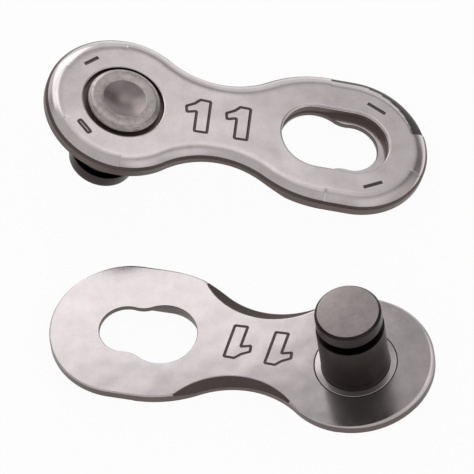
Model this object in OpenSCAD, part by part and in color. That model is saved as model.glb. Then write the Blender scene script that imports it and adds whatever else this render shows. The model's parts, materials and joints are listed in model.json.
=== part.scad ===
// Quick connecting link for an eleven-speed bicycle chain.
// Two like halves lie apart. Each is a stamped plate with a riveted pin at one end
// and, at the other, a keyhole slot that takes the pin of the other half.
// The rear half shows its outer face and lies on its slot end and the edge of its pin.
// The front half shows its inner face and lies on its slot end and its rivet head.

/* [Link] */
// Distance from a half's own pin to the seat of its slot
pitch = 12.7; // [11.5:0.1:15]
// Length of the pin that stands out of the inner face
pin_reach = 4.75; // [4:0.05:6]

/* [Plate outline] */
// Thickness of a plate
plate_t = 0.9; // [0.8:0.05:1.2]
// Radius of the end round the pin
pin_end_r = 4.24; // [3.6:0.02:4.8]
// Radius of the end round the slot
slot_end_r = 4.15; // [3.7:0.05:4.7]
// Length of the straight edge behind the slot end
straight_l = 1.4; // [0.6:0.1:2]
// Radius of the shoulder between the straight edge and the waist
shoulder_r = 6.5; // [5.5:0.1:8]
// Radius of the hollow in each side of the waist
waist_r = 4.85; // [4.2:0.05:6]

/* [Plate edges] */
// Width of the rolled edge of the outer face
roll_w = 0.7; // [0.4:0.05:0.9]
// Depth of the rolled edge
roll_h = 0.4; // [0.25:0.05:0.5]
// Width of the coined flats on both ends of the outer face
coin_w = 0.78; // [0.5:0.02:1]
// Depth of the coined flats
coin_h = 0.55; // [0.3:0.05:0.65]
// Radius of the bevel that cuts into the waist from the inner face
bevel_r = 4.26; // [3.6:0.02:5]
// How far the bevel cuts into the waist
bevel_w = 0.55; // [0.3:0.05:0.8]
// Depth of the bevel where it is deepest
bevel_h = 0.2; // [0.1:0.02:0.4]
// How far the bevel's middle lies from the waist's, towards the slot
bevel_shift = 0.36; // [0:0.02:0.8]

/* [Slot] */
// Distance from the seat to the middle of the wide entry
entry_back = 2; // [1.6:0.1:2.4]
// Thickness of the lip round the seat
lip_t = 0.3; // [0.2:0.05:0.4]
// Radius of the two bulges that narrow the slot between entry and seat
neck_r = 1.3; // [1:0.05:1.6]
// Clearance round the pin's cap in the entry
cap_clear = 0.15; // [0.05:0.01:0.25]
// Clearance round the pin's groove in the seat
groove_clear = 0.06; // [0.03:0.01:0.12]

/* [Pin] */
// Radius of the pin
pin_r = 1.85; // [1.5:0.05:2]
// Radius of the cap at the pin's free end
cap_r = 1.8; // [1.5:0.05:1.9]
// Height of the cap
cap_h = 0.85; // [0.6:0.05:1.1]
// Chamfer on the cap's free edge
cap_chamfer = 0.14; // [0.05:0.01:0.25]
// Radius of the pin in its groove
groove_r = 1.4; // [1.2:0.05:1.6]
// Width of the groove
groove_h = 0.6; // [0.4:0.05:0.8]

/* [Rivet] */
// Radius of the pin's shoulder, which is pressed into the plate
press_r = 2.21; // [2.05:0.02:2.4]
// Depth of the pressed shoulder
press_h = 0.45; // [0.3:0.05:0.5]
// Radius of the rivet's neck
rivet_r = 1.6; // [1.3:0.05:1.75]
// Depth of the sunk ring round the rivet head
sink_h = 0.32; // [0.2:0.02:0.34]
// Radius of the rivet head
head_r = 2.02; // [1.85:0.01:2.2]
// Gap between the rivet head and the rim of the sunk ring
head_gap = 0.22; // [0.1:0.02:0.3]
// How far the rivet head stands proud of the plate
head_proud = 0.3; // [0.15:0.05:0.4]
// Rounding of the rivet head's edge
head_round = 0.34; // [0.2:0.02:0.45]
// Radius of the dimple in the rivet head
dimple_r = 1.17; // [0.8:0.01:1.3]
// Depth of the dimple
dimple_h = 0.3; // [0.1:0.02:0.4]

/* [Layout] */
// Turn of the rear half
rear_turn = -9; // [-40:1:20]
// Turn of the front half
front_turn = 160; // [140:1:200]
// Sideways place of the rear half's pin
rear_x = -5.3; // [-8:0.02:-3]
// Place of the rear half's pin towards the back
rear_y = 7.88; // [6:0.02:12]
// Sideways place of the front half's pin
front_x = 5.44; // [3:0.02:8]
// Place of the front half's pin towards the front
front_y = -7.88; // [-12:0.02:-6]

/* [Hidden] */
$fn = 96;
over = 0.5;
plate_color = "#C9C2BF";
pin_color = "#8C8280";
roll_r = (roll_w ^ 2 + roll_h ^ 2) / (2 * roll_h);
entry_x = pitch - entry_back;
entry_r = cap_r + cap_clear;
seat_r = groove_r + groove_clear;
sink_r = head_r + head_gap;
shaft_l = pin_reach - cap_h - groove_h;
dimple_ball_r = (dimple_r ^ 2 + dimple_h ^ 2) / (2 * dimple_h);
// Angles of the coined flats, each measured about the middle of its end
pin_flat_from = 90;
pin_flat_to = 152;
slot_flat_from = 20;
slot_flat_to = 90;
// Step left where one arc runs into the next, and how far short of the touch each piece ends
step = 0.01;
// Middles of the arcs that shape the edge on one side
shoulder_at = [pitch - straight_l, slot_end_r - shoulder_r];
waist_at = touching(shoulder_at, pin_end_r + waist_r, shoulder_r + waist_r);
bevel_at = [waist_at.x + bevel_shift, waist_at.y - waist_r - bevel_w + bevel_r];
neck_at = [entry_x, 0] + touching([entry_back, 0], entry_r + neck_r - step, seat_r + neck_r - step);
pin_skip = skip_angle(pin_end_r, waist_r);
shoulder_skip = skip_angle(shoulder_r, waist_r);
slot_skip = sqrt(2 * step * slot_end_r);
straight_skip = sqrt(2 * step * shoulder_r);
pin_side_angle = atan2(waist_at.y, waist_at.x) - pin_skip;
shoulder_angle = atan2(waist_at.y - shoulder_at.y, waist_at.x - shoulder_at.x) + shoulder_skip;
waist_corner = crossing(pin_side_angle, shoulder_at, shoulder_angle);
// Each half lies tilted, with its slot end down
tip_x = pitch + slot_end_r;
rear_edge = cap_r - cap_chamfer;
rear_tilt = atan2(pin_reach, tip_x - rear_edge);
rear_lift = tip_x * sin(rear_tilt);
front_tilt = atan2(head_proud, tip_x - roll_w - head_r + head_round);
front_lift = (tip_x - roll_w) * sin(front_tilt) + (plate_t - roll_r) * cos(front_tilt) + roll_r;

// Middle of the circle that touches two others: one about the origin and one about p,
// when its distances from their middles are a and b
function touching(p, a, b) =
    let (d = norm(p), along = (a ^ 2 - b ^ 2 + d ^ 2) / (2 * d), across = sqrt(a ^ 2 - along ^ 2))
    p / d * along + [-p.y, p.x] / d * across;

// Angle about the middle of an arc of radius a, past its touch with one of radius b,
// at which the two lie one step apart
function skip_angle(a, b) = sqrt(2 * step / (1 / a + 1 / b)) / a * 180 / PI;

// Where a line from the origin at one angle crosses a line from p at another
function crossing(from_origin, p, from_p) =
    let (run = (p.x * sin(from_p) - p.y * cos(from_p)) / sin(from_p - from_origin))
    run * [cos(from_origin), sin(from_origin)];

// Section of a plate from the middle of an end out to its edge, with the rolled corner
module edge_section(r) {
    difference() {
        square([r, plate_t]);
        difference() {
            translate([r - roll_w, plate_t - roll_h])
                square([roll_w + over, roll_h + over]);
            translate([r - roll_w, plate_t - roll_r])
                circle(roll_r);
        }
    }
}

// Section of the tool that hollows the waist, flared to leave the same rolled corner
module hollow_section() {
    translate([0, -over])
        square([waist_r, plate_t + over]);
    difference() {
        translate([0, plate_t - roll_h])
            square([waist_r + roll_w, roll_h + over]);
        translate([waist_r + roll_w, plate_t - roll_r])
            circle(roll_r);
    }
}

// Round end or shoulder about a middle
module disc(at, r) {
    translate(at)
        rotate_extrude()
            edge_section(r);
}

// Waist and shoulder on one side of the plate
module waist_side() {
    difference() {
        linear_extrude(plate_t)
            polygon([[0, 0], shoulder_at, waist_corner]);
        translate(waist_at)
            rotate_extrude()
                hollow_section();
    }
    translate(shoulder_at)
        rotate(shoulder_angle + shoulder_skip)
            rotate_extrude(angle = -2 * (shoulder_angle + shoulder_skip - 90))
                edge_section(shoulder_r);
}

// Straight length of the plate beside the slot
module straight() {
    translate([shoulder_at.x + straight_skip, 0, 0])
        rotate([90, 0, 90])
            linear_extrude(straight_l - straight_skip - slot_skip) {
                edge_section(slot_end_r);
                mirror([1, 0])
                    edge_section(slot_end_r);
            }
}

// Plate before anything is cut into it, inner face down
module blank() {
    disc([0, 0], pin_end_r);
    disc([pitch, 0], slot_end_r);
    waist_side();
    mirror([0, 1, 0])
        waist_side();
    straight();
}

// Conical tool that bevels the waist from the inner face
module waist_bevel() {
    slope = bevel_w / bevel_h;
    translate([bevel_at.x, bevel_at.y, -over])
        cylinder(h = plate_t + over, r1 = bevel_r + over * slope, r2 = bevel_r - plate_t * slope);
}

// Section of the tool that coins a flat on an edge of radius r
module flat_section(r) {
    slope = coin_w / coin_h;
    polygon([
        [r - coin_w - over * slope, plate_t + over],
        [r + over, plate_t + over],
        [r + over, plate_t - coin_h - over / slope],
        [r - coin_w, plate_t],
    ]);
}

// Coined flat round an end, between two angles
module round_flat(at, r, from, to) {
    translate(at)
        rotate(from)
            rotate_extrude(angle = to - from)
                flat_section(r);
}

// Coined flats on one side of the plate: on the pin end, and on the slot end
// with the straight edge behind it, where the round flat runs on under the straight one
module coined_flats() {
    round_flat([0, 0], pin_end_r, pin_flat_from, pin_flat_to);
    round_flat([pitch, 0], slot_end_r, slot_flat_from, slot_flat_to + asin(2 * slot_skip / slot_end_r));
    translate([shoulder_at.x, 0, 0])
        rotate([90, 0, 90])
            linear_extrude(straight_l - slot_skip)
                flat_section(slot_end_r);
}

// What the keyhole gains beside its neck: the bulge ends one step inside the entry and the seat
module neck_side() {
    difference() {
        polygon([[entry_x, 0], neck_at, [pitch, 0]]);
        translate(neck_at)
            circle(neck_r);
    }
}

// Keyhole through the lip: a wide entry and a narrow seat, with room for the groove between them
module keyhole() {
    translate([entry_x, 0])
        circle(entry_r);
    translate([pitch, 0])
        circle(seat_r);
    translate([entry_x, -groove_r])
        square([entry_back, 2 * groove_r]);
    neck_side();
    mirror([0, 1])
        neck_side();
}

// Recess in the outer face, which lets the cap sink in as it slides to the seat
module cap_recess() {
    translate([entry_x, 0])
        circle(entry_r);
    translate([pitch, 0])
        circle(entry_r);
    translate([entry_x, -entry_r])
        square([entry_back, 2 * entry_r]);
}

// Plate, inner face down, with the pin's place at the origin
module plate() {
    color(plate_color)
        difference() {
            blank();
            waist_bevel();
            mirror([0, 1, 0])
                waist_bevel();
            coined_flats();
            mirror([0, 1, 0])
                coined_flats();
            translate([0, 0, -over])
                linear_extrude(plate_t)
                    keyhole();
            translate([0, 0, lip_t])
                linear_extrude(plate_t)
                    cap_recess();
            translate([0, 0, -over])
                cylinder(h = press_h + over, r = press_r);
            cylinder(h = plate_t, r = rivet_r);
            translate([0, 0, plate_t - sink_h])
                cylinder(h = sink_h + over, r = sink_r);
        }
}

// Half section of the pin: cap, groove, shaft, pressed shoulder, neck and rivet head
module pin_section() {
    head_top = plate_t + head_proud;
    polygon([
        [0, -pin_reach],
        [cap_r - cap_chamfer, -pin_reach],
        [cap_r, cap_chamfer - pin_reach],
        [cap_r, cap_h - pin_reach],
        [groove_r, cap_h - pin_reach],
        [groove_r, -shaft_l],
        [pin_r, -shaft_l],
        [pin_r, 0],
        [press_r, 0],
        [press_r, press_h],
        [rivet_r, press_h],
        [rivet_r, plate_t - sink_h],
        [head_r, plate_t - sink_h],
        [head_r, head_top - head_round],
        [head_r - head_round, head_top - head_round],
        [head_r - head_round, head_top],
        [0, head_top],
    ]);
    translate([head_r - head_round, head_top - head_round])
        intersection() {
            circle(head_round);
            square(head_round);
        }
}

// Pin, free end down, with the plate's inner face at its origin
module pin() {
    color(pin_color)
        difference() {
            rotate_extrude()
                pin_section();
            translate([0, 0, plate_t + head_proud - dimple_h + dimple_ball_r])
                sphere(dimple_ball_r);
        }
}

// Rear half's place: outer face up, resting on its slot end and the edge of its cap
module place_rear() {
    translate([rear_x, rear_y, rear_lift])
        rotate([0, rear_tilt, rear_turn])
            children();
}

// Front half's place: inner face up, resting on its slot end and its rivet head
module place_front() {
    translate([front_x, front_y, front_lift])
        rotate([0, front_tilt, front_turn])
            rotate([180, 0, 0])
                children();
}

module rear_plate() place_rear() plate();
module rear_pin() place_rear() pin();
module front_plate() place_front() plate();
module front_pin() place_front() pin();

rear_plate();
rear_pin();
front_plate();
front_pin();
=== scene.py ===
# %% [markdown]
# # Quick connecting link for a bicycle chain
# The link is two like halves that lie apart on a pale table. Each half is a plate, stamped
# from steel strip, nickel-plated and tumbled, and a hardened pin that is riveted through its
# round end. The rear half shows its outer face, the front half its inner face.
#
# The CAD model fixes every size and place. It is loaded first.

# %% Load the measured frame
import json
import math

import bmesh
import bpy
import numpy as np
from mathutils import Matrix, Vector, geometry


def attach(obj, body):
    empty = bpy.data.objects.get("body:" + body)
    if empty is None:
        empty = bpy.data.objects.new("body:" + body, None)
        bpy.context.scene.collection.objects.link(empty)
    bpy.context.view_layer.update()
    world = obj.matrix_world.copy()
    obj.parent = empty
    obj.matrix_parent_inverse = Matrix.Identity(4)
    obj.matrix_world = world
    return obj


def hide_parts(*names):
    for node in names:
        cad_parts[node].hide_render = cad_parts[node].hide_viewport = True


MM = 0.001
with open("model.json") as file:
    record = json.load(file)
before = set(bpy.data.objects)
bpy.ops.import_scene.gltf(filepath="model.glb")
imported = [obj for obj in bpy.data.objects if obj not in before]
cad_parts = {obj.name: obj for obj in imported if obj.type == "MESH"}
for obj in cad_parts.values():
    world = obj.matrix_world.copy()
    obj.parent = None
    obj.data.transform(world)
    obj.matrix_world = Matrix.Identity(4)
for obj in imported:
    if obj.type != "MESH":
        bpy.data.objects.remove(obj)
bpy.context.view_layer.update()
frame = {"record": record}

# %% [markdown]
# ## Where each half lies
# A half is easiest to shape in its own millimetres: u runs from its pin to its slot, v across
# the plate, and w from the inner face, at 0, to the outer face. The record states where each
# pin stands and which way each slot points. Those two are enough to work out the matrix that
# carries a finished mesh to its place in metres, so no place is written twice.

# %% Work out the two places
MOUNTS = {mount["name"]: mount for mount in frame["record"]["mounts"]}


def half_place(side):
    """Matrix from a half's own millimetres to the frame's metres."""
    pin = MOUNTS[side + "_pin_shaft"]
    seat = MOUNTS[side + "_slot_seat"]
    down = Vector(pin["axis"])
    along = -Vector(seat["axis"])
    across = along.cross(down)
    middle = Vector(pin["pos_m"]) - down * pin["dims"]["length_mm"] / 2 * MM
    place = Matrix((along, across, -down)).transposed().to_4x4()
    place.translation = middle
    return place @ Matrix.Scale(MM, 4)


PLACES = {side: half_place(side) for side in ("rear", "front")}
for side, place in PLACES.items():
    print(side, "pin at", [round(part / MM, 2) for part in place.translation])

# %% [markdown]
# ## Outline of a plate
# Seen from above, a plate's edge is arcs that run into each other: a round end about the pin,
# a hollow waist, a wide shoulder, a short straight and a round end about the slot. It could be
# drawn point by point, but a few radii say it exactly. The waist touches the arcs on both its
# sides, so its middle follows from the radii. All sizes are those of the real part, in
# millimetres.

# %% Name the outline's sizes
PITCH = 12.7
PLATE_T = 0.9
PIN_END_R = 4.24
SLOT_END_R = 4.15
STRAIGHT = 1.4
SHOULDER_R = 6.5
WAIST_R = 4.85

ORIGIN = np.zeros(2)
SEAT_AT = np.array([PITCH, 0.0])
SHOULDER_AT = np.array([PITCH - STRAIGHT, SLOT_END_R - SHOULDER_R])


def touching(middle, near, far):
    """Middle of the circle that lies near from the origin and far from another middle."""
    reach = np.linalg.norm(middle)
    along = (near**2 - far**2 + reach**2) / (2 * reach)
    across = math.sqrt(near**2 - along**2)
    return middle / reach * along + np.array([-middle[1], middle[0]]) / reach * across


def angle_to(start, end):
    """Direction from one point to another, in degrees."""
    return math.degrees(math.atan2(end[1] - start[1], end[0] - start[0]))


WAIST_AT = touching(SHOULDER_AT, PIN_END_R + WAIST_R, SHOULDER_R + WAIST_R)
print("the waist's middle is at", WAIST_AT.round(2))

# %% [markdown]
# ## Stations along the edge
# The outline becomes a row of stations, each with a point and the way outwards. With both, any
# line that follows the edge at some distance is one step of arithmetic, which a curve object
# wouldn't offer. The press has coined two flats on each end of the outer face, and their ends
# show as small ticks. Two stations that lie a hair apart at each tick give it a crisp wall.

# %% Make one stretch of stations
STATION_GAP = 0.13
TICK_GAP = 0.03
# Where the coined flats begin and end, in degrees about the middle of their end
PIN_TICKS = (152, 90)
SLOT_TICKS = (90, 20)


def arc(middle, radius, start, end, gap=STATION_GAP):
    """Points of an arc, and the way from its middle to each of them."""
    count = max(2, math.ceil(abs(math.radians(end - start)) * radius / gap))
    turn = np.radians(np.linspace(start, end, count + 1))
    way = np.column_stack((np.cos(turn), np.sin(turn)))
    return middle + radius * way, way


def stretch(middle, radius, start, end, coined, outward=1, shared_end=False):
    """Stations of one arc: points, ways outwards and whether they are coined.

    A hollow arc has its ways turned round, with outward -1. A shared end is left to the next.
    """
    points, ways = arc(middle, radius, start, end)
    last = len(points) - shared_end
    return points[:last], outward * ways[:last], np.full(last, coined)


def straight_stretch():
    """Stations of the short straight beside the slot, all of them coined."""
    along = np.linspace(SHOULDER_AT[0] + TICK_GAP, PITCH, round(STRAIGHT / STATION_GAP))[:-1]
    points = np.column_stack((along, np.full(len(along), SLOT_END_R)))
    return points, np.tile((0.0, 1.0), (len(along), 1)), np.full(len(along), True)


print("a quarter of the pin's end has", len(arc(ORIGIN, PIN_END_R, 0, 90)[0]), "stations")


# %% Lay out the edge line
def edge_line():
    """Stations counter-clockwise round the plate: points, ways outwards, and which are coined."""
    side = angle_to(ORIGIN, WAIST_AT)
    shoulder = angle_to(SHOULDER_AT, WAIST_AT)
    pin_hair = math.degrees(TICK_GAP / PIN_END_R)
    slot_hair = math.degrees(TICK_GAP / SLOT_END_R)
    stretches = (
        stretch(ORIGIN, PIN_END_R, 180, PIN_TICKS[0] + pin_hair, False),
        stretch(ORIGIN, PIN_END_R, *PIN_TICKS, True),
        stretch(ORIGIN, PIN_END_R, PIN_TICKS[1] - pin_hair, side, False, shared_end=True),
        stretch(WAIST_AT, WAIST_R, side + 180, shoulder + 180, False, outward=-1, shared_end=True),
        stretch(SHOULDER_AT, SHOULDER_R, shoulder, 90, False),
        straight_stretch(),
        stretch(SEAT_AT, SLOT_END_R, *SLOT_TICKS, True),
        stretch(SEAT_AT, SLOT_END_R, SLOT_TICKS[1] - slot_hair, 0, False),
    )
    points, ways, coined = (np.concatenate(part) for part in zip(*stretches))
    mirror = np.array([1.0, -1.0])
    back = slice(-2, 0, -1)
    return (
        np.concatenate((points * mirror, points[back])),
        np.concatenate((ways * mirror, ways[back])),
        np.concatenate((coined, coined[back])),
    )


EDGE, OUTWARD, COINED = edge_line()
print(len(EDGE), "stations round the plate's edge,", COINED.sum(), "of them on coined flats")

# %% [markdown]
# ## A shell of loops
# A stamped plate is flat faces, joined by narrow curved bands: the rolled edge, the rims of the
# holes and their walls. Boolean cuts and a Bevel modifier could shape them, but a band follows
# its edge exactly when it is built as loops of points that are bridged with quads. What is left
# between the loops is flat, and a triangulation that keeps the loops fills it. Each loop that
# bounds a flat face has a second loop close by, so that smooth shading can't bend the light on
# the flat.

# %% Make the shell's tools
class Shell:
    """Loops of points in millimetres, and the faces between them."""

    def __init__(self):
        self.points = []
        self.faces = []
        self.finishes = []

    def loop(self, flat, height):
        """Adds a closed loop, flat points with one height or one each, and returns its numbers."""
        heights = np.broadcast_to(height, len(flat))
        first = len(self.points)
        self.points.extend((*point, high) for point, high in zip(flat, heights))
        return list(range(first, len(self.points)))

    def bridge(self, loops, finish):
        """Quads between each loop and the next, in one finish or in one for each station."""
        for one, other in zip(loops, loops[1:]):
            count = len(one)
            for i in range(count):
                j = (i + 1) % count
                self.faces.append((one[i], one[j], other[j], other[i]))
            self.finishes.extend(np.broadcast_to(finish, count).tolist())

    def fill(self, *loops, finish):
        """Triangles over the flat inside the first loop and outside the others."""
        numbers = [number for loop in loops for number in loop]
        flat = [Vector(self.points[number][:2]) for number in numbers]
        ends = np.cumsum([len(loop) for loop in loops])
        rings = [list(range(end - len(loop), end)) for loop, end in zip(loops, ends)]
        # Output type 1 keeps what lies inside a loop, and the last value is the merging distance
        _, _, triangles, old_points, _, inside_of = geometry.delaunay_2d_cdt(flat, [], rings, 1, 1e-7)
        origin = [numbers[old[0]] for old in old_points]
        for face, inside in zip(triangles, inside_of):
            if inside == [0]:
                self.faces.append(tuple(origin[i] for i in face))
                self.finishes.append(finish)


print("a shell can", [name for name in vars(Shell) if not name.startswith("_")])

# %% [markdown]
# ## Rolled edge and coined flats
# Seen in section, the outer face runs flat, then rolls down in a soft curve to a short sheared
# wall, as strip does where a die cuts it. Along the coined flats a sloping cut takes some of
# the roll off and fades into the face. Three of the four flats are soft. The fourth, on the
# slot's end, is crisper and grows along its length. Its edge carries a painted dark reflection,
# with a painted grey seam beside that. A Bevel modifier gives one even rounding, so here
# the height is a formula of the distance inwards, and each station has its own share of the cut.

# %% Shape the outer face
ROLL_H = 0.4
SOFT_ROLL_W = 0.95
COIN_W = 0.78
COIN_H = 0.55
# How far the cut and the roll melt into each other, in millimetres of height
SOFT_FADE = 0.11
CRISP_FADE = 0.04
# How much of the cut is struck: the same all along a soft flat, more and more along the crisp one
SOFT_SHARE = 0.14
CRISP_SHARES = (0.1, 0.75)
# Width of the painted dark reflection where the crisp flat begins and where it ends
DARK_BAND_W = (0.31, 0.74)
CRISP_FLAT = COINED & (EDGE[:, 0] > SHOULDER_AT[0]) & (EDGE[:, 1] > 0)
SLOT_TURN = np.degrees(np.arctan2(EDGE[:, 1], EDGE[:, 0] - PITCH))
ALONG = np.interp(-SLOT_TURN, (-SLOT_TICKS[0], -SLOT_TICKS[1]), (0, 1))
DARK_BAND = np.where(CRISP_FLAT, np.interp(ALONG, (0, 1), DARK_BAND_W), 0)
SHARE = np.where(CRISP_FLAT, np.interp(ALONG, (0, 1), CRISP_SHARES), SOFT_SHARE) * COINED


def outer_height(inward):
    """Height of the outer face at a distance inwards from each station."""
    roll = PLATE_T - ROLL_H * max(1 - inward / SOFT_ROLL_W, 0) ** 3
    flat = PLATE_T - COIN_H * (1 - inward / COIN_W)
    fade = np.where(CRISP_FLAT, CRISP_FADE, SOFT_FADE)
    near = np.maximum(fade - abs(roll - flat), 0) / fade
    struck = np.minimum(roll, flat) - near**2 * fade / 4
    return roll + SHARE * (struck - roll)


print("the roll drops", ROLL_H, "mm over", SOFT_ROLL_W, "mm, and", CRISP_FLAT.sum(), "stations are worn")

# %% [markdown]
# ## Inner face
# The inner face has a slight rounding from tumbling, wider round the pin's end, and in each
# waist a bevel that is part of a cone. The bevel's inner line isn't parallel to the edge, so
# a bevel tool can't follow it. Instead, each station measures how far inwards the cone reaches.

# %% Shape the waist bevels
BEVEL_R = 4.26
BEVEL_W = 0.55
BEVEL_H = 0.2
BEVEL_SHIFT = 0.36
BEVEL_AT = WAIST_AT + np.array([BEVEL_SHIFT, BEVEL_R - WAIST_R - BEVEL_W])


def bevel_height(points):
    """Height of the waist bevels at points of the inner face."""
    near_side = np.column_stack((points[:, 0], np.abs(points[:, 1])))
    away = np.linalg.norm(near_side - BEVEL_AT, axis=1)
    return np.maximum(0, BEVEL_R - away) * BEVEL_H / BEVEL_W


def bevel_reach():
    """How far inwards the waist bevel reaches at each station."""
    away = np.column_stack((EDGE[:, 0], np.abs(EDGE[:, 1]))) - BEVEL_AT
    outward = OUTWARD * np.column_stack((np.ones(len(EDGE)), np.where(EDGE[:, 1] < 0, -1, 1)))
    along = (away * outward).sum(1)
    inside = along**2 - (away**2).sum(1) + BEVEL_R**2
    return np.where(inside > 0, along + np.sqrt(np.maximum(inside, 0)), 0)


print("the bevels reach", bevel_reach().max().round(2), "mm inwards")

# %% [markdown]
# ## The band round the edge
# The loops of the band lie close together where the height bends and further apart where it is
# even. Every ring of quads has one finish for each station, so that plated stretches and the
# painted shade of the bevels, the painted dark reflection and the painted grey seam can alternate
# along the same ring.

# %% Join the edge band
# Numbers of the plate's finishes, in the order in which its mesh gets them further on
FACE, SIDE, SHADED_BEVEL, PAINTED_DARK, PAINTED_GREY = range(5)
# How far inwards the dark sheared finish reaches on the outer face, as painted shade on the roll's rim
SHADED_RIM_LINE = 0.13
GREY_SEAM_W = 0.07
TUMBLE_W = 0.08
PIN_END_TUMBLE_W = 0.26
TUMBLE_H = 0.01
TUMBLE_FLATNESS = 5
BLEND = 0.015
# Distances inwards of the outer face's loops
OUTER_STEPS = (0, 0.02, 0.04, 0.07, 0.1, 0.13, 0.18, 0.24, 0.31, 0.38, 0.45, 0.52, 0.58, 0.64)
OUTER_STEPS += (0.7, 0.74, 0.78, 0.83, 0.89, 0.95, 0.98)
# The inner face's loops, as shares of the tumbled rounding's width
INNER_SHARES = (0, 0.1, 0.25, 0.45, 0.7, 1)
TUMBLE = np.interp(-EDGE[:, 0], (0, PIN_END_R), (TUMBLE_W, PIN_END_TUMBLE_W))


def outer_band(shell):
    """Adds the rolled edge and the flats, and returns their loops."""
    loops = [shell.loop(EDGE - OUTWARD * inward, outer_height(inward)) for inward in OUTER_STEPS]
    for pair, end in zip(zip(loops, loops[1:]), OUTER_STEPS[1:]):
        # The first loops of the rolled edge take the dark sheared finish, as painted shade along its rim
        plated = SIDE if end <= SHADED_RIM_LINE else FACE
        # Along the crisp flat, a painted dark reflection at the edge and a painted grey seam beside it
        with_grey_seam = np.where(CRISP_FLAT & (end <= DARK_BAND + GREY_SEAM_W), PAINTED_GREY, plated)
        shell.bridge(pair, np.where(end <= DARK_BAND, PAINTED_DARK, with_grey_seam))
    return loops


def inner_band(shell, foot):
    """Adds the tumbled rounding and the waist bevels below the wall's foot, and returns their loops."""
    loops = []
    for share in INNER_SHARES:
        points = EDGE - OUTWARD * (TUMBLE * share)[:, None]
        rounding = (TUMBLE_H + TUMBLE / TUMBLE_FLATNESS) * (1 - share) ** 2
        loops.append(shell.loop(points, bevel_height(points) + rounding))
    reach = bevel_reach()
    for step, extra in enumerate((-BLEND, BLEND, 3 * BLEND), start=1):
        points = EDGE - OUTWARD * np.maximum(TUMBLE + step * BLEND, reach + extra)[:, None]
        loops.append(shell.loop(points, bevel_height(points)))
    # The waist bevels take a dark grey finish, painted shade for their slope
    bevelled = np.where(reach > TUMBLE + 2 * BLEND, SHADED_BEVEL, FACE)
    shell.bridge([foot, loops[0]], SIDE)
    shell.bridge(loops[:-2], bevelled)
    shell.bridge(loops[-3:], FACE)
    return loops


def edge_band(shell):
    """Adds the whole band, and returns the loops that bound the outer and the inner face."""
    outer = outer_band(shell)
    inner = inner_band(shell, outer[0])
    return outer[-1], inner[-1]


print("the band has", len(OUTER_STEPS), "outer loops, and", (DARK_BAND > 0).sum(), "scuffed stations")

# %% [markdown]
# ## Keyhole, recess and sunk ring
# The slot is a keyhole in a thin lip: a wide entry that lets the pin's cap through, and a
# narrower seat that holds the pin's groove. Two bulges between them snap the groove into place.
# A round-ended recess in the outer face takes the cap. The lip is plated, and the walls round
# it are sheared, with a dark finish that also paints in their shade. The pin's own hole is
# stepped, and a ring is sunk round the rivet head.
# Each of these lines is made of arcs about fixed middles, so that one value grows or shrinks
# the whole line evenly, and a rounded rim is a few lines with different growths.

# %% Lay out the holes
ENTRY_BACK = 2.0
ENTRY_R = 1.95
SEAT_R = 1.46
NECK_R = 1.3
# How far the lip stands out inside the recess's wall, round the entry
LEDGE = 0.07
SINK_R = 2.24
HOLE_GAP = 0.09
ENTRY_AT = np.array([PITCH - ENTRY_BACK, 0.0])
RING_WAYS = arc(ORIGIN, SINK_R, 0, 360, HOLE_GAP)[1][:-1]


def ring(radius):
    """Closed loop about the pin, with as many points at any radius."""
    return radius * RING_WAYS


def grown_arc(middle, radius, start, end, grow):
    """Points of an arc whose radius grows while their number stays."""
    return arc(ORIGIN, radius, start, end, HOLE_GAP)[1] * (radius + grow) + middle


def recess_line(grow):
    """Edge of the recess in the outer face."""
    left = grown_arc(ENTRY_AT, ENTRY_R, 90, 270, grow)
    right = grown_arc(SEAT_AT, ENTRY_R, -90, 90, grow)
    across = np.linspace(ENTRY_AT[0], PITCH, round(ENTRY_BACK / HOLE_GAP))[1:-1]
    low = np.column_stack((across, np.full(len(across), -ENTRY_R - grow)))
    high = np.column_stack((across[::-1], np.full(len(across), ENTRY_R + grow)))
    return np.concatenate((left, low, right, high))


def keyhole_line(grow):
    """Edge of the keyhole in the lip. Its bulges shrink as the hole grows."""
    entry = ENTRY_R - LEDGE
    neck = ENTRY_AT + touching(SEAT_AT - ENTRY_AT, entry + NECK_R, SEAT_R + NECK_R)
    start, end = angle_to(ENTRY_AT, neck), angle_to(SEAT_AT, neck)
    left = grown_arc(ENTRY_AT, entry, start, 360 - start, grow)
    low_neck = grown_arc(neck * (1, -1), NECK_R, 180 - start, 180 - end, -grow)[1:-1]
    right = grown_arc(SEAT_AT, SEAT_R, -end, end, grow)
    high_neck = grown_arc(neck, NECK_R, 180 + end, 180 + start, -grow)[1:-1]
    return np.concatenate((left, low_neck, right, high_neck))


print("points: keyhole", len(keyhole_line(0)), "recess", len(recess_line(0)), "ring", len(RING_WAYS))

# %% Build the holes' walls
LIP_T = 0.3
SINK_H = 0.32
RIVET_R = 1.6
PRESS_R = 2.21
PRESS_H = 0.45
RIM_R = 0.11
# Size of the small chamfers and of the gap to a guarding loop
FINE = 0.03
# Quarter of a circle, as shares of its radius outwards and downwards
ROUNDING = [(1 - math.sin(a), 1 - math.cos(a)) for a in np.radians((0, 22.5, 45, 67.5, 90))]


def slot_walls(shell):
    """Adds the recess, lip and keyhole, and returns their loops on the outer and inner face."""
    rim = [shell.loop(recess_line(RIM_R + away * FINE), PLATE_T) for away in (2, 1)]
    for out, down in ROUNDING:
        rim.append(shell.loop(recess_line(RIM_R * out), PLATE_T - RIM_R * down))
    foot = [shell.loop(recess_line(0), LIP_T + FINE / 2), shell.loop(recess_line(-FINE / 2), LIP_T)]
    lip = [shell.loop(keyhole_line(FINE), LIP_T), shell.loop(keyhole_line(0), LIP_T - FINE)]
    edge = [shell.loop(keyhole_line(0), FINE), shell.loop(keyhole_line(FINE), 0)]
    guard = shell.loop(keyhole_line(2 * FINE), 0)
    shell.bridge(rim, FACE)
    shell.bridge([rim[-1], *foot], SIDE)
    shell.fill(foot[-1], lip[0], finish=FACE)
    shell.bridge([*lip, *edge], SIDE)
    shell.bridge([edge[-1], guard], FACE)
    return rim[0], guard


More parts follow.
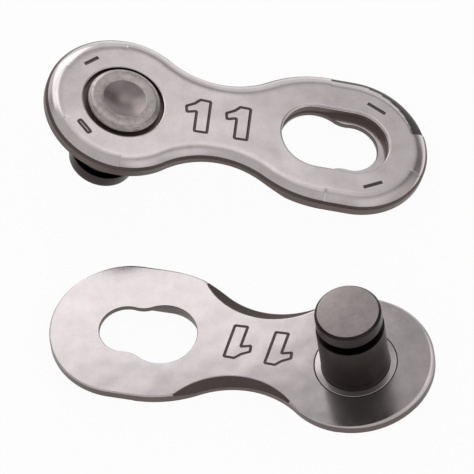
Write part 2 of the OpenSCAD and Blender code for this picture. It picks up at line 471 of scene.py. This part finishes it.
def pin_hole(shell):
    """Adds the sunk ring and the stepped hole, and returns their loops on both faces."""
    floor = PLATE_T - SINK_H
    rim_steps = ((SINK_R + 3 * FINE, PLATE_T), (SINK_R + 2 * FINE, PLATE_T), (SINK_R, PLATE_T - FINE))
    wall_steps = ((SINK_R, floor), (RIVET_R, floor), (RIVET_R, PRESS_H), (PRESS_R, PRESS_H))
    wall_steps += ((PRESS_R, FINE), (PRESS_R + FINE, 0), (PRESS_R + 2 * FINE, 0))
    rim = [shell.loop(ring(radius), high) for radius, high in rim_steps]
    walls = [shell.loop(ring(radius), high) for radius, high in wall_steps]
    shell.bridge(rim, FACE)
    shell.bridge([rim[-1], *walls], SIDE)
    return rim[0], walls[-1]


print("the lip is", LIP_T, "mm thick, and the ring is sunk by", SINK_H, "mm")


# %% Put the plate together
def close_up(mesh):
    """Turns a mesh's faces outwards, and says how many faces and open edges it has."""
    work = bmesh.new()
    work.from_mesh(mesh)
    bmesh.ops.recalc_face_normals(work, faces=work.faces)
    open_edges = sum(1 for edge in work.edges if not edge.is_manifold)
    work.to_mesh(mesh)
    work.free()
    print(mesh.name, "has", len(mesh.polygons), "faces,", open_edges, "open edges")


def mesh_of(shell, name):
    """A closed mesh from a shell, with its faces pointing outwards."""
    mesh = bpy.data.meshes.new(name)
    mesh.from_pydata(shell.points, [], shell.faces)
    mesh.polygons.foreach_set("material_index", shell.finishes)
    close_up(mesh)
    return mesh


def plate_mesh():
    """One plate in its own millimetres, before it is stamped with marks."""
    shell = Shell()
    outer, inner = edge_band(shell)
    recess, keyhole = slot_walls(shell)
    sunk, hole = pin_hole(shell)
    shell.fill(outer, recess, sunk, finish=FACE)
    shell.fill(inner, keyhole, hole, finish=FACE)
    return mesh_of(shell, "plate_blank")


blank = plate_mesh()

# %% [markdown]
# ## Finishes
# Every surface here is bare or plated metal. It gets its look from what it mirrors, so the
# roughness says how blurred that is, and the colour tints it. On the walls, bevels, grooves,
# the pins' sides, the dimple and the edge of one flat, a darker colour paints in shade or a
# dark reflection. A metal could have one flat colour, but a real one is never even: blotches of
# two tones, a fine grain and a roughness that varies with both make it believable. They read
# object coordinates, which are metres, and are scaled to millimetres, so that each size is a
# real one.
#
# The scratches of tumbling and grinding are about a hundredth of a millimetre wide, which is a
# fifth of a pixel. The grain is drawn about ten times coarser, so that it just shows.

# %% Make the node helper and the colour function
def add(tree, kind, settings=None, inputs=None):
    """Adds one node, with its settings and its inputs, which are values or other nodes' sockets."""
    node = tree.nodes.new(kind)
    for name, value in (settings or {}).items():
        setattr(node, name, value)
    for name, value in (inputs or {}).items():
        if isinstance(value, bpy.types.NodeSocket):
            tree.links.new(value, node.inputs[name])
        else:
            node.inputs[name].default_value = value
    return node


def linear(part):
    """Linear value of one sRGB channel."""
    return part / 12.92 if part <= 0.04045 else ((part + 0.055) / 1.055) ** 2.4


def colour(written):
    """Linear colour of an sRGB hex value."""
    return [linear(int(written[i : i + 2], 16) / 255) for i in (1, 3, 5)] + [1]


print("mid grey is", [round(part, 3) for part in colour("#808080")])

# %% Make the function for a metal
# Size of the slow waves that tumbling leaves in a plate
WAVE_MM = 2.2
# How much the roughness changes to both sides, and how much of that the blotches do
MATT_SPREAD = 0.2
BLOTCH_SHARE = 0.5
# Range of the blotches' share and the grain together
MIXED_LOW = 0.4
MIXED_HIGH = 1.1


def metal(name, dark, light, roughness, blotch_mm, grain_mm, grain_h_mm, wave_h_mm=0.0):
    """A metal with blotches of two tones, slow waves, a fine grain, and roughness that varies."""
    material = bpy.data.materials.new(name)
    material.use_nodes = True
    tree = material.node_tree
    shader = tree.nodes["Principled BSDF"]
    place = add(tree, "ShaderNodeTexCoord").outputs["Object"]
    in_mm = add(tree, "ShaderNodeMapping", inputs={"Vector": place, "Scale": (1 / MM,) * 3}).outputs[0]
    blotch = add(
        tree,
        "ShaderNodeTexNoise",
        inputs={"Vector": in_mm, "Scale": 1 / blotch_mm, "Detail": 5.0, "Roughness": 0.6},
    ).outputs["Fac"]
    grain = add(
        tree,
        "ShaderNodeTexNoise",
        inputs={"Vector": in_mm, "Scale": 1 / grain_mm, "Detail": 3.0, "Roughness": 0.7},
    ).outputs["Fac"]
    wave = add(
        tree,
        "ShaderNodeTexNoise",
        inputs={"Vector": in_mm, "Scale": 1 / WAVE_MM, "Detail": 1.0},
    ).outputs["Fac"]
    # Of the many inputs of a Mix node, 0 is the share, and 6 and 7 are the two colours
    tone = add(
        tree,
        "ShaderNodeMix",
        {"data_type": "RGBA"},
        {0: blotch, 6: colour(dark), 7: colour(light)},
    ).outputs[2]
    mixed = add(
        tree,
        "ShaderNodeMath",
        {"operation": "MULTIPLY_ADD"},
        {0: blotch, 1: BLOTCH_SHARE, 2: grain},
    ).outputs[0]
    matt = add(
        tree,
        "ShaderNodeMapRange",
        inputs={
            "Value": mixed,
            "From Min": MIXED_LOW,
            "From Max": MIXED_HIGH,
            "To Min": roughness * (1 - MATT_SPREAD),
            "To Max": roughness * (1 + MATT_SPREAD),
        },
    ).outputs[0]
    waved = add(tree, "ShaderNodeBump", inputs={"Height": wave, "Distance": wave_h_mm * MM}).outputs[0]
    bump = add(
        tree,
        "ShaderNodeBump",
        inputs={"Height": grain, "Distance": grain_h_mm * MM, "Normal": waved},
    ).outputs[0]
    tree.links.new(tone, shader.inputs["Base Color"])
    tree.links.new(matt, shader.inputs["Roughness"])
    tree.links.new(bump, shader.inputs["Normal"])
    shader.inputs["Metallic"].default_value = 1.0
    return material


print("waves are", WAVE_MM, "mm wide, and roughness varies by", MATT_SPREAD, "of itself")

# %% Make the plates' finishes
# Each has a name, a dark and a light tone, a roughness, the sizes of its blotches and grain, and
# the heights of its grain and, on the nickel, of its waves, all in millimetres.
#
# Nickel plate, tumbled with small stones: a soft, warm grey mirror with slow waves, in which
# the light changes from pale to grey across a plate
nickel_face = metal("tumbled_nickel_plate", "#C2B8B9", "#E4DCDD", 0.18, 1.0, 0.12, 0.0006, 0.026)
# Steel that a die has sheared and torn: rough and brownish, and painted darker as shade, a dark line
# round each plate
sheared_side_painted_shade = metal("sheared_steel_painted_shade", "#5F5552", "#706562", 0.4, 0.7, 0.08, 0.002)
# The waist bevels: an even dark grey with a dull sheen, painted in as the shade of their slope
bevel_painted_shade = metal("bevel_steel_painted_dark", "#564D4B", "#665C5A", 0.36, 0.8, 0.1, 0.001)
# Steel at the foot of a stamped line: rough, and painted dark as the shade in the groove, so that a thin
# mark still reads as dark
groove_painted_shade = metal("groove_painted_shade", "#554B4B", "#6E6464", 0.42, 0.5, 0.08, 0.002)
# The crisp flat's edge: a painted dark reflection, almost black beside the pale face
painted_dark_edge = metal("steel_painted_dark", "#302928", "#403837", 0.38, 0.5, 0.1, 0.001)
# A painted grey seam that leads from the pale face to the painted dark reflection
painted_grey_seam = metal("nickel_painted_grey", "#7A7070", "#8F8585", 0.3, 0.5, 0.1, 0.001)
# In the order of the numbers that the edge band gives its faces
PLATE_FINISHES = (nickel_face, sheared_side_painted_shade, bevel_painted_shade, painted_dark_edge, painted_grey_seam)
print("plate finishes:", [material.name for material in PLATE_FINISHES])

# %% Make the pins' finishes
# Hardened steel, ground round: painted dark as the shade that the pin's side stands in, with one soft
# glint along it
pin_side_painted_shade = metal("pin_steel_painted_shade", "#322B2A", "#403938", 0.33, 0.9, 0.1, 0.0008)
# Steel ground flat across the cap: a satin grey, much paler than the pin's side
ground_end = metal("ground_steel", "#9F9494", "#C2B8B8", 0.3, 0.6, 0.1, 0.0012)
# Steel that the riveting punch has spread: mottled in small pale and grey spots
riveted_head = metal("riveted_steel", "#7A706F", "#DDD5D4", 0.32, 0.3, 0.12, 0.002)
# Steel that the same punch has pressed smooth: a grey bowl, painted darker than the head as the shade in
# its hollow, that mirrors the room upside down
dimple_painted_shade = metal("dimple_steel_painted_shade", "#857B7B", "#9C9292", 0.3, 0.5, 0.12, 0.002)
PIN_FINISHES = (pin_side_painted_shade, ground_end, nickel_face, riveted_head, dimple_painted_shade)
print("pin finishes:", [material.name for material in PIN_FINISHES])

# %% [markdown]
# ## Stamped marks
# A punch has pressed thin lines into the plate: two plain numerals on each face, and short
# dashes round the outer face. They could be painted on with a material, but a real groove
# catches light and shadow from every side. Each mark is a line, so it is drawn as edges, with
# a width for each point.

# %% Draw the marks
ONE = ((0.5, 0), (1.2, 0.02), (1.32, 2.08), (0.75, 2.1), (0.45, 1.8), (0.0, 1.55), (0.04, 1.17))
ONE += ((0.58, 1.32),)
OUTER_ONES = ((3.43, -1.12), (5.64, -1.14))
INNER_ONES = ((3.5, 1.22), (5.77, 1.27))
OUTER_DASHES = (
    ((-2.27, 2.0), (-1.55, 2.59)),
    ((13.34, 2.67), (14.34, 2.18)),
    ((13.37, -2.86), (14.38, -2.31)),
)
LOW_DASH = ((-2.42, -1.79), (-2.27, -1.66), (-1.68, -2.32), (-1.83, -2.45))
DASH_WIDTH = 1.13
# Height of the tool's middle above the face: less than its radius, so that it dips in
TOOL_LIFT = 0.075


def marks_mesh():
    """All the marks' lines in one mesh of edges, with a width for each point."""
    points, edges, widths = [], [], []

    def line(flat, height, closed, width=1.0):
        first = len(points)
        points.extend((u, v, height) for u, v in flat)
        widths.extend([width] * len(flat))
        edges.extend((i, i + 1) for i in range(first, len(points) - 1))
        if closed:
            edges.append((len(points) - 1, first))

    for u, v in OUTER_ONES:
        line([(u + x, v + y) for x, y in ONE], PLATE_T + TOOL_LIFT, True)
    for u, v in INNER_ONES:
        line([(u + x, v - y) for x, y in ONE], -TOOL_LIFT, True)
    for dash in OUTER_DASHES:
        line(dash, PLATE_T + TOOL_LIFT, False, DASH_WIDTH)
    line(LOW_DASH, PLATE_T + TOOL_LIFT, True)
    mesh = bpy.data.meshes.new("mark_lines")
    mesh.from_pydata(points, edges, [])
    mesh.attributes.new("width", "FLOAT", "POINT").data.foreach_set("value", widths)
    return mesh


marks = marks_mesh()
print("marks:", len(marks.vertices), "points and", len(marks.edges), "edges")

# %% [markdown]
# ## Stamping
# The marks, like the pins further on, are a section that follows a line, which Geometry Nodes
# do well. The tool is a small circle that is swept along the lines, with their corners eased a
# little, and cut out of the plate. It has its own, darker finish, a painted shade in the groove,
# and the cut hands that to the walls of the groove. So Set Material comes before the cut here:
# after it, it would cover the plate.
#
# The tree is built in code, with named inputs. It is put on the plate as a modifier, its inputs
# are set by each socket's identifier, and the result is kept as a plain mesh. After that the
# modifier has no more use and goes.

# %% Build the stamping tree
def new_tree(name, inputs):
    """An empty Geometry Nodes tree with named inputs, and the sockets that they arrive at."""
    tree = bpy.data.node_groups.new(name, "GeometryNodeTree")
    interface = tree.interface
    interface.new_socket("Geometry", in_out="INPUT", socket_type="NodeSocketGeometry")
    interface.new_socket("Geometry", in_out="OUTPUT", socket_type="NodeSocketGeometry")
    for label, kind, value in inputs:
        socket = interface.new_socket(label, in_out="INPUT", socket_type="NodeSocket" + kind)
        if value is not None:
            socket.default_value = value
    return tree, add(tree, "NodeGroupInput").outputs


TOOL_SIDES = 12
CORNER_POINTS = 3
stamp, given = new_tree(
    "stamp_lines",
    [
        ("Lines", "Object", None),
        ("Groove radius", "Float", 0.115),
        ("Corner radius", "Float", 0.05),
        ("Finish", "Material", None),
    ],
)
lines = add(stamp, "GeometryNodeObjectInfo", inputs={"Object": given["Lines"]}).outputs["Geometry"]
drawn = add(stamp, "GeometryNodeMeshToCurve", inputs={"Mesh": lines}).outputs[0]
eased = add(
    stamp,
    "GeometryNodeFilletCurve",
    {"mode": "POLY"},
    {"Curve": drawn, "Radius": given["Corner radius"], "Count": CORNER_POINTS, "Limit Radius": True},
).outputs[0]
nose = add(
    stamp,
    "GeometryNodeCurvePrimitiveCircle",
    inputs={"Resolution": TOOL_SIDES, "Radius": given["Groove radius"]},
).outputs[0]
width = add(
    stamp,
    "GeometryNodeInputNamedAttribute",
    {"data_type": "FLOAT"},
    {"Name": "width"},
).outputs[0]
tool = add(
    stamp,
    "GeometryNodeCurveToMesh",
    inputs={"Curve": eased, "Profile Curve": nose, "Scale": width, "Fill Caps": True},
).outputs[0]
tinted = add(
    stamp,
    "GeometryNodeSetMaterial",
    inputs={"Geometry": tool, "Material": given["Finish"]},
).outputs[0]
cut = add(
    stamp,
    "GeometryNodeMeshBoolean",
    {"operation": "DIFFERENCE", "solver": "EXACT"},
    {"Mesh 1": given["Geometry"], "Mesh 2": tinted, "Self Intersection": True},
).outputs["Mesh"]
whole = add(stamp, "GeometryNodeRealizeInstances", inputs={"Geometry": cut}).outputs[0]
add(stamp, "NodeGroupOutput", inputs={"Geometry": whole})
print("the stamping tree has", len(stamp.nodes), "nodes")

# %% Stamp the plate
def finished(piece, tree, values):
    """The mesh that a tree makes of an object, as a plain mesh, with the modifier gone."""
    modifier = piece.modifiers.new(tree.name, "NODES")
    modifier.node_group = tree
    inputs = [item for item in tree.interface.items_tree if item.in_out == "INPUT"]
    sockets = {item.name: item.identifier for item in inputs}
    for label, value in values.items():
        modifier[sockets[label]] = value
    result = piece.evaluated_get(bpy.context.evaluated_depsgraph_get())
    mesh = bpy.data.meshes.new_from_object(result)
    piece.modifiers.remove(modifier)
    return mesh


def put(name, data):
    """A new object in the scene."""
    piece = bpy.data.objects.new(name, data)
    bpy.context.scene.collection.objects.link(piece)
    return piece


for material in PLATE_FINISHES:
    blank.materials.append(material)
mark_lines = put("mark_lines", marks)
blank_piece = put("plate_blank", blank)
stamped = finished(blank_piece, stamp, {"Lines": mark_lines, "Finish": groove_painted_shade})
print("stamped plate:", len(stamped.polygons), "faces,", [m.name for m in stamped.materials])
for helper in (mark_lines, blank_piece):
    bpy.data.objects.remove(helper)

# %% [markdown]
# ## Place the plates
# Both halves are the same pressing, so one mesh is copied and moved by its half's matrix. The
# object itself stays at the origin, as a CAD node's does. The mesh is shaded smooth, with an
# edge kept sharp where two faces meet at a clear angle.

# %% Place the plates
SHARP = math.radians(28)


def settle(name, mesh, side, node):
    """Puts a finished mesh where its half lies, in place of a CAD node."""
    own = mesh.copy()
    own.transform(PLACES[side])
    own.shade_smooth()
    own.set_sharp_from_angle(angle=SHARP)
    piece = put(name, own)
    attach(piece, "root")
    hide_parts(node)


for side in PLACES:
    settle(side + "_stamped_plate", stamped, side, side + "_plate")
print("plates placed:", list(PLACES))

# %% [markdown]
# ## Turned pins
# A pin is turned on a lathe, so it is one profile swept round an axis: a chamfered cap, a
# groove, the shaft, a collar that is pressed into the plate, and the rivet head with the dimple
# that the riveting punch left. Stacked cylinders would show hard corners, so each corner of
# the profile is eased by a small arc. The dome of the head has a fine notch, as in the real
# one, where the punch's rim stood.

# %% Ease the profile's corners
# Places on an easing arc, as shares of its length
EASE_SHARES = (0, 0.25, 0.5, 0.75, 1)


def eased_line(corners):
    """A line through (radius, height, ease) corners, each cut by an arc of its ease's size."""
    flat = [np.array(corner[:2]) for corner in corners]
    made = [flat[0]]
    for before, here, after, (_, _, ease) in zip(flat, flat[1:], flat[2:], corners[1:]):
        back = (before - here) / np.linalg.norm(before - here)
        on = (after - here) / np.linalg.norm(after - here)
        for share in EASE_SHARES:
            made.append(here + ease * ((1 - share) ** 2 * back + share**2 * on))
    return [*made, flat[-1]]


print("an eased corner:", [tuple(p.round(3)) for p in eased_line([(0, 0, 0), (1, 0, 0.03), (1, 1, 0)])])

# %% Draw the pin's profile
PIN_REACH = 4.75
PIN_R = 1.85
CAP_R = 1.8
CAP_H = 0.85
CAP_CHAMFER = 0.14
GROOVE_R = 1.4
GROOVE_H = 0.6
HEAD_R = 2.02
HEAD_PROUD = 0.3
HEAD_ROUND = 0.34
DIMPLE_R = 1.17
DIMPLE_H = 0.3
# Gap to the plate's walls, and the sizes of the eased corners
FIT_GAP = 0.005
FINE_EASE = 0.02
EASE = 0.03
# Angles and depth of the head's dome and of its notch
DOME_TURNS = range(0, 91, 8)
NOTCH_AT = 48
NOTCH_H = 0.02
# The dimple's rim, and the rings of its bowl as shares of its radius
RIM_W = 0.03
RIM_H = 0.01
BOWL_SHARES = np.linspace(0.97, 0, 14)
CAP_TOP = CAP_H - PIN_REACH
GROOVE_TOP = CAP_TOP + GROOVE_H
HEAD_FOOT = PLATE_T - SINK_H
HEAD_TOP = PLATE_T + HEAD_PROUD


def shank_line():
    """Half section of the pin from the middle of its cap to the foot of its dome."""
    return eased_line(
        [
            (0, -PIN_REACH, 0),
            (CAP_R - CAP_CHAMFER, -PIN_REACH, FINE_EASE),
            (CAP_R, CAP_CHAMFER - PIN_REACH, FINE_EASE),
            (CAP_R, CAP_TOP, EASE),
            (GROOVE_R, CAP_TOP, EASE),
            (GROOVE_R, GROOVE_TOP, EASE),
            (PIN_R, GROOVE_TOP, EASE),
            (PIN_R, 0, EASE),
            (PRESS_R - FIT_GAP, 0, EASE),
            (PRESS_R - FIT_GAP, PRESS_H, FINE_EASE),
            (RIVET_R - FIT_GAP, PRESS_H, FINE_EASE),
            (RIVET_R - FIT_GAP, HEAD_FOOT, FINE_EASE),
            (HEAD_R, HEAD_FOOT, EASE),
            (HEAD_R, HEAD_TOP - HEAD_ROUND, 0),
        ]
    )


def head_line():
    """Half section of the rivet head from the foot of its dome to the middle of its dimple."""
    dome = []
    for turn in DOME_TURNS:
        radius = HEAD_ROUND - (NOTCH_H if turn == NOTCH_AT else 0)
        out, up = radius * math.cos(math.radians(turn)), radius * math.sin(math.radians(turn))
        dome.append((HEAD_R - HEAD_ROUND + out, HEAD_TOP - HEAD_ROUND + up))
    rim = [(DIMPLE_R + RIM_W, HEAD_TOP), (DIMPLE_R, HEAD_TOP - RIM_H)]
    depth = DIMPLE_H - RIM_H
    bowl = [(DIMPLE_R * share, HEAD_TOP - RIM_H - depth * (1 - share**2)) for share in BOWL_SHARES]
    return dome + rim + bowl


outline = [*shank_line(), *head_line()]
half_section = bpy.data.meshes.new("pin_profile")
half_section.from_pydata(
    [(radius, height, 0) for radius, height in outline],
    [(i, i + 1) for i in range(len(outline) - 1)],
    [],
)
print("the pin's profile has", len(outline), "points")

# %% [markdown]
# ## The lathe
# Geometry Nodes sweep the profile round a circle. The circle's own radius is taken off the
# profile first, so that the profile comes back to its true distance from the axis. The points
# that meet on the axis are merged, which closes both poles.

# %% Build the lathe tree
SEGMENTS = 128
CARRIER_R = 10.0
MERGE_MM = 0.0005
lathe, given = new_tree("turn_profile", [("Segments", "Int", SEGMENTS), ("Finish", "Material", None)])
profile = add(lathe, "GeometryNodeMeshToCurve", inputs={"Mesh": given["Geometry"]}).outputs[0]
moved = add(
    lathe,
    "GeometryNodeTransform",
    inputs={"Geometry": profile, "Translation": (-CARRIER_R, 0, 0), "Scale": (1, -1, 1)},
).outputs[0]
carrier = add(
    lathe,
    "GeometryNodeCurvePrimitiveCircle",
    inputs={"Resolution": given["Segments"], "Radius": CARRIER_R},
).outputs[0]
turned = add(
    lathe,
    "GeometryNodeCurveToMesh",
    inputs={"Curve": carrier, "Profile Curve": moved},
).outputs[0]
closed = add(
    lathe,
    "GeometryNodeMergeByDistance",
    inputs={"Geometry": turned, "Distance": MERGE_MM},
).outputs[0]
whole = add(lathe, "GeometryNodeRealizeInstances", inputs={"Geometry": closed}).outputs[0]
dressed = add(
    lathe,
    "GeometryNodeSetMaterial",
    inputs={"Geometry": whole, "Material": given["Finish"]},
).outputs[0]
add(lathe, "NodeGroupOutput", inputs={"Geometry": dressed})
print("the lathe tree has", len(lathe.nodes), "nodes")

# %% Turn the pin
profile_piece = put("pin_profile", half_section)
pin_mesh = finished(profile_piece, lathe, {"Segments": SEGMENTS, "Finish": pin_side_painted_shade})
bpy.data.objects.remove(profile_piece)
close_up(pin_mesh)

# %% [markdown]
# ## The pins' finishes in their places
# A pin's finishes change from one turned band to the next, so where the middle of a face lies
# is enough to tell its finish. The collar's rim, which is flush with the inner face, was plated
# together with the plate.

# %% Finish and place the pins
LEVEL = 0.02


def pin_finish(centre):
    """Which of the pin's finishes a face has, from where its middle lies."""
    radius = math.hypot(centre.x, centre.y)
    if centre.z > PLATE_T and radius < DIMPLE_R:
        return PIN_FINISHES.index(dimple_painted_shade)
    if centre.z > HEAD_FOOT:
        return PIN_FINISHES.index(riveted_head)
    if centre.z < LEVEL - PIN_REACH and radius < CAP_R - CAP_CHAMFER:
        return PIN_FINISHES.index(ground_end)
    if abs(centre.z) < LEVEL and radius > PIN_R + EASE:
        return PIN_FINISHES.index(nickel_face)
    return PIN_FINISHES.index(pin_side_painted_shade)


pin_mesh.materials.clear()
for material in PIN_FINISHES:
    pin_mesh.materials.append(material)
for face in pin_mesh.polygons:
    face.material_index = pin_finish(face.center)
for side in PLACES:
    settle(side + "_turned_pin", pin_mesh, side, side + "_pin")
print("pins placed:", list(PLACES))

# %% [markdown]
# ## Table
# The link lies on a plain white sheet. Under plain light a white sheet renders a little grey,
# and more light would wash out the metal. So the camera, and the metal that mirrors the sheet,
# see it mostly as an even white, and for a small share as paper that takes the shadow. The
# light that the sheet throws back on the link is that of paper alone.

# %% Lay the table
TABLE_HALF = 2.0
WHITE_SHARE = 0.95
CORNERS = [(x, y, 0) for x, y in ((-1, -1), (1, -1), (1, 1), (-1, 1))]
table = bpy.data.meshes.new("table")
table.from_pydata(CORNERS, [], [(0, 1, 2, 3)])
table.transform(Matrix.Scale(TABLE_HALF, 4))
# White paper, calendered: a flat, bright white without gloss, on which only soft shadows show
paper = bpy.data.materials.new("white_paper")
paper.use_nodes = True
sheet = paper.node_tree
sheet.nodes.clear()
path = add(sheet, "ShaderNodeLightPath").outputs
seen = path["Is Camera Ray"]
for other in ("Is Glossy Ray", "Is Transmission Ray"):
    seen = add(
        sheet,
        "ShaderNodeMath",
        {"operation": "MAXIMUM"},
        {0: seen, 1: path[other]},
    ).outputs[0]
share = add(sheet, "ShaderNodeMath", {"operation": "MULTIPLY"}, {0: seen, 1: WHITE_SHARE}).outputs[0]
matt = add(sheet, "ShaderNodeBsdfDiffuse", inputs={"Color": colour("#FAFAFA")}).outputs[0]
white = add(sheet, "ShaderNodeEmission", inputs={"Color": colour("#FFFFFF"), "Strength": 1.0}).outputs[0]
mixed = add(sheet, "ShaderNodeMixShader", inputs={0: share, 1: matt, 2: white}).outputs[0]
add(sheet, "ShaderNodeOutputMaterial", inputs={"Surface": mixed})
table.materials.append(paper)
put("table", table)
print("the table is", 2 * TABLE_HALF, "m wide")

# %% [markdown]
# ## The room that the metal mirrors
# A flat metal face shows one small part of the room, so its tone is set by what lies in the
# mirrored direction. The room is a soft dome, brightest above and a little to the front and
# left, with a pale wall at the back, another at the right and a glow over the rear half. Each
# is a smooth spot of light about one direction. A picture of a real room would do as well, but
# spots can be set one by one, and they need no image.

# %% Light the room
world = bpy.data.worlds.new("soft_room")
bpy.context.scene.world = world
world.use_nodes = True
sky = world.node_tree
sky.nodes.clear()
way = add(sky, "ShaderNodeTexCoord").outputs["Generated"]


def sky_light(towards, start, end, low, high):
    """Light that grows from low to high as a direction turns towards one way.

    Start and end are where it begins and stops growing, as cosines of the angle to that way.
    """
    near = add(
        sky,
        "ShaderNodeVectorMath",
        {"operation": "DOT_PRODUCT"},
        {0: way, 1: Vector(towards)},
    ).outputs["Value"]
    steps = {"Value": near, "From Min": start, "From Max": end, "To Min": low, "To Max": high}
    return add(sky, "ShaderNodeMapRange", {"interpolation_type": "SMOOTHSTEP"}, steps).outputs[0]


dome = sky_light((-0.2, -0.45, 0.87), start=0.12, end=0.85, low=0.19, high=0.58)
back_wall = sky_light((-0.15, 0.82, -0.55), start=0.05, end=0.45, low=0.0, high=0.6)
right_wall = sky_light((0.85, -0.35, 0.4), start=0.75, end=0.96, low=0.0, high=0.35)
over_rear = sky_light((0.4, 0.42, 0.81), start=0.92, end=0.975, low=0.0, high=0.36)
level = dome
for part in (back_wall, right_wall, over_rear):
    level = add(sky, "ShaderNodeMath", {"operation": "ADD"}, {0: level, 1: part}).outputs[0]
glow = add(sky, "ShaderNodeBackground", inputs={"Color": colour("#FFFFFF"), "Strength": level}).outputs[0]
add(sky, "ShaderNodeOutputWorld", inputs={"Surface": glow})
print("the world has", len(sky.nodes), "nodes")

# %% [markdown]
# ## Lamps
# Each flat face also changes in tone from one end to the other. A far sky can't do that, since
# a flat face mirrors the same part of it everywhere, but a soft lamp close by can: its mirror
# image covers one end of the face and fades towards the other. So each half has a softbox that
# stands in the direction that its face mirrors. It is unseen itself, and its strength is the
# brightness of its surface, so that a lamp's size can change without its tone.

# %% Hang the lamps
# The ways that the halves' flat faces mirror for the camera
FRONT_MIRRORS = Vector((-0.03, 0.59, 0.81))
REAR_MIRRORS = Vector((0.475, 0.497, 0.726))
REAR_LAMP_MM = 80


def soft_lamp(name, at_mm, way, wide_mm, high_mm, strength):
    """A flat lamp that shines the other way than it is seen, with a radiance of strength."""
    lamp = bpy.data.lights.new(name, "AREA")
    lamp.shape = "RECTANGLE"
    lamp.size = wide_mm * MM
    lamp.size_y = high_mm * MM
    lamp.energy = strength * math.pi * lamp.size * lamp.size_y
    piece = put(name, lamp)
    piece.location = at_mm * MM
    piece.rotation_euler = (-way).to_track_quat("-Z", "Y").to_euler()
    piece.visible_camera = False


soft_lamp(
    "front_softbox",
    at_mm=Vector((-10.9, 49.4, 34.1)),
    way=FRONT_MIRRORS,
    wide_mm=26,
    high_mm=54,
    strength=0.98,
)
soft_lamp(
    "rear_softbox",
    at_mm=Vector((-8.9, -4.5, 2)) + REAR_MIRRORS * REAR_LAMP_MM,
    way=REAR_MIRRORS,
    wide_mm=18,
    high_mm=24,
    strength=0.42,
)
print("lamps:", [light.name for light in bpy.data.lights])

# %% [markdown]
# ## Camera
# Small parts are photographed from far off with a long lens, so that near and far ends keep
# their proportions. The camera stands a metre away, looks down steeply and is rolled a little.
# The focal length follows from how many pixels a millimetre has in the picture.

# %% Set the camera
ELEVATION = math.radians(54.5)
ROLL = math.radians(7.5)
TARGET = Vector((0.035, 2.2, 0)) * MM
DISTANCE = 1.0
FRAME_PIXELS = 474
PIXELS_PER_MM = 18.6
SENSOR_MM = 36
NEAREST = 0.01
right = Vector((1, 0, 0))
up = Vector((0, math.sin(ELEVATION), math.cos(ELEVATION)))
back = Vector((0, -math.cos(ELEVATION), math.sin(ELEVATION)))
rolled_right = right * math.cos(ROLL) - up * math.sin(ROLL)
rolled_up = right * math.sin(ROLL) + up * math.cos(ROLL)
lens = bpy.data.cameras.new("long_lens")
lens.sensor_width = SENSOR_MM
lens.lens = PIXELS_PER_MM / MM * DISTANCE * SENSOR_MM / FRAME_PIXELS
lens.clip_start = NEAREST
camera = put("long_lens", lens)
camera.matrix_world = Matrix((rolled_right, rolled_up, back)).transposed().to_4x4()
camera.location = TARGET + back * DISTANCE
bpy.context.scene.camera = camera
bpy.context.scene.view_settings.view_transform = "Standard"
print("the lens is", round(lens.lens), "mm long")

# %% [markdown]
